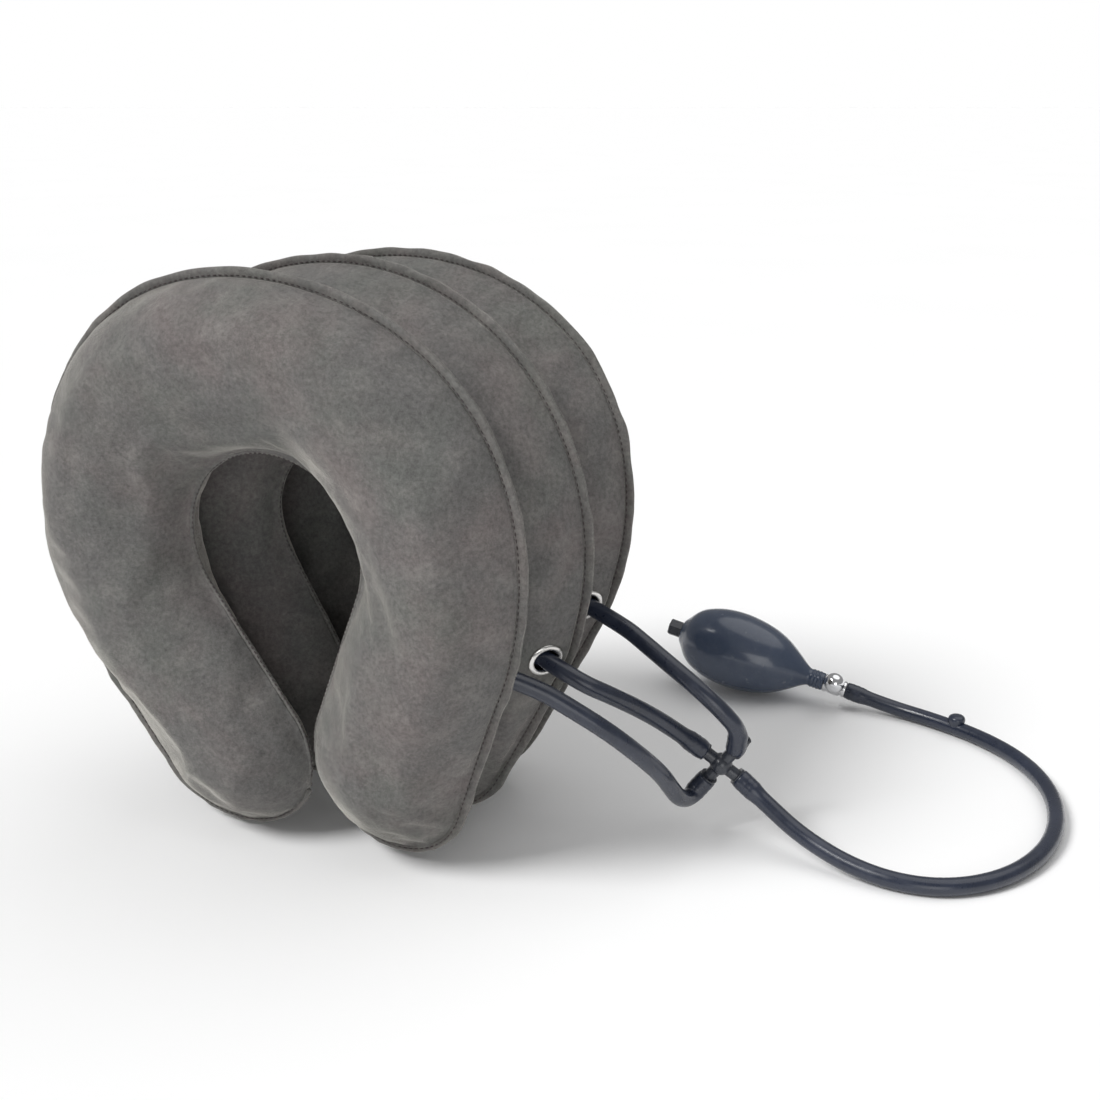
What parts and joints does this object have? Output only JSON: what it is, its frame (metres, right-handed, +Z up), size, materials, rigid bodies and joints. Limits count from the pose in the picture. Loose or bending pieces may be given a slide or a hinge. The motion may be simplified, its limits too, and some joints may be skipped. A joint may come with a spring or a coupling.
{
  "type": "cervical traction device",
  "caption": "Inflatable neck traction collar: stacked horseshoe air cushions in velvet, joined by rubber hoses to a hand bulb with a release valve.",
  "frame": {"origin": "on the surface it stands on, under the middle of the collar and bulb together (hoses and connector left out)", "axes": "+X across the collar towards the hoses, +Y from the front tier to the rear tier, +Z up; the collar stands on its arm tips"},
  "size_m": [0.4815, 0.3162, 0.2787],
  "materials": {
    "velvet": "short-pile warm grey velvet",
    "seam": "sewn velvet edge",
    "bladder": "matt rubber film",
    "eyelet": "bright nickel plate",
    "hose": "semi-gloss dark blue-grey rubber",
    "connector": "moulded dark plastic",
    "bulb": "glossy blue-grey rubber",
    "valve": "polished chrome",
    "disc": "soft rubber",
    "dark_plastic": "moulded"
  },
  "bodies": {
    "middle_tier": {"middle_tier_front_panel": "velvet", "middle_tier_rear_panel": "velvet", "middle_tier_outer_seam": "seam", "middle_tier_inner_seam": "seam", "middle_air_bladder": "bladder", "middle_bladder_port": "bladder", "middle_eyelet": "eyelet", "middle_eyelet_washer": "eyelet", "front_joining_band": "seam", "rear_joining_band": "seam", "front_hose": "hose", "middle_hose": "hose", "rear_hose": "hose", "main_hose": "hose", "cross_connector": "connector", "hose_nub": "hose", "squeeze_bulb": "bulb", "inlet_valve_body": "dark_plastic", "inlet_filter": "dark_plastic", "inlet_disc_retainer": "dark_plastic", "release_valve_body": "valve", "outlet_disc_retainer": "valve"},
    "front_tier": {"front_tier_front_panel": "velvet", "front_tier_rear_panel": "velvet", "front_tier_outer_seam": "seam", "front_tier_inner_seam": "seam", "front_air_bladder": "bladder", "front_bladder_port": "bladder", "front_eyelet": "eyelet", "front_eyelet_washer": "eyelet"},
    "rear_tier": {"rear_tier_front_panel": "velvet", "rear_tier_rear_panel": "velvet", "rear_tier_outer_seam": "seam", "rear_tier_inner_seam": "seam", "rear_air_bladder": "bladder", "rear_bladder_port": "bladder", "rear_eyelet": "eyelet", "rear_eyelet_washer": "eyelet"},
    "inlet_disc": {"inlet_check_disc": "disc"},
    "outlet_disc": {"outlet_check_disc": "disc"},
    "release_knob": {"valve_knob": "valve", "valve_needle": "valve", "valve_o_ring": "disc"}
  },
  "joints": [
    {"name": "front_tier_deflate", "type": "slide", "parent": "middle_tier", "child": "front_tier", "axis": [0, 1, 0], "range_m": [0, 0.016], "deforming": ["front_tier_front_panel", "front_tier_rear_panel", "front_air_bladder", "middle_tier_front_panel", "middle_tier_rear_panel", "middle_air_bladder", "front_hose"]},
    {"name": "rear_tier_deflate", "type": "slide", "parent": "middle_tier", "child": "rear_tier", "axis": [0, -1, 0], "range_m": [0, 0.016], "deforming": ["rear_tier_front_panel", "rear_tier_rear_panel", "rear_air_bladder", "rear_hose"]},
    {"name": "release_knob_turn", "type": "hinge", "parent": "middle_tier", "child": "release_knob", "pos_m": [0.16053, 0.1346, 0.01244], "axis": [0.1102, -0.848, 0.5183], "range_deg": [0, 360]},
    {"name": "inlet_disc_lift", "type": "slide", "parent": "middle_tier", "child": "inlet_disc", "axis": [0.9781, 0, -0.2079], "range_m": [0, 0.001], "stiffness_N_per_m": 20},
    {"name": "outlet_disc_lift", "type": "slide", "parent": "middle_tier", "child": "outlet_disc", "axis": [0.9781, 0, -0.2079], "range_m": [0, 0.001], "stiffness_N_per_m": 20}
  ],
  "couplings": [
    {"joint": "rear_tier_deflate", "follows": "front_tier_deflate", "ratio": 1}
  ]
}
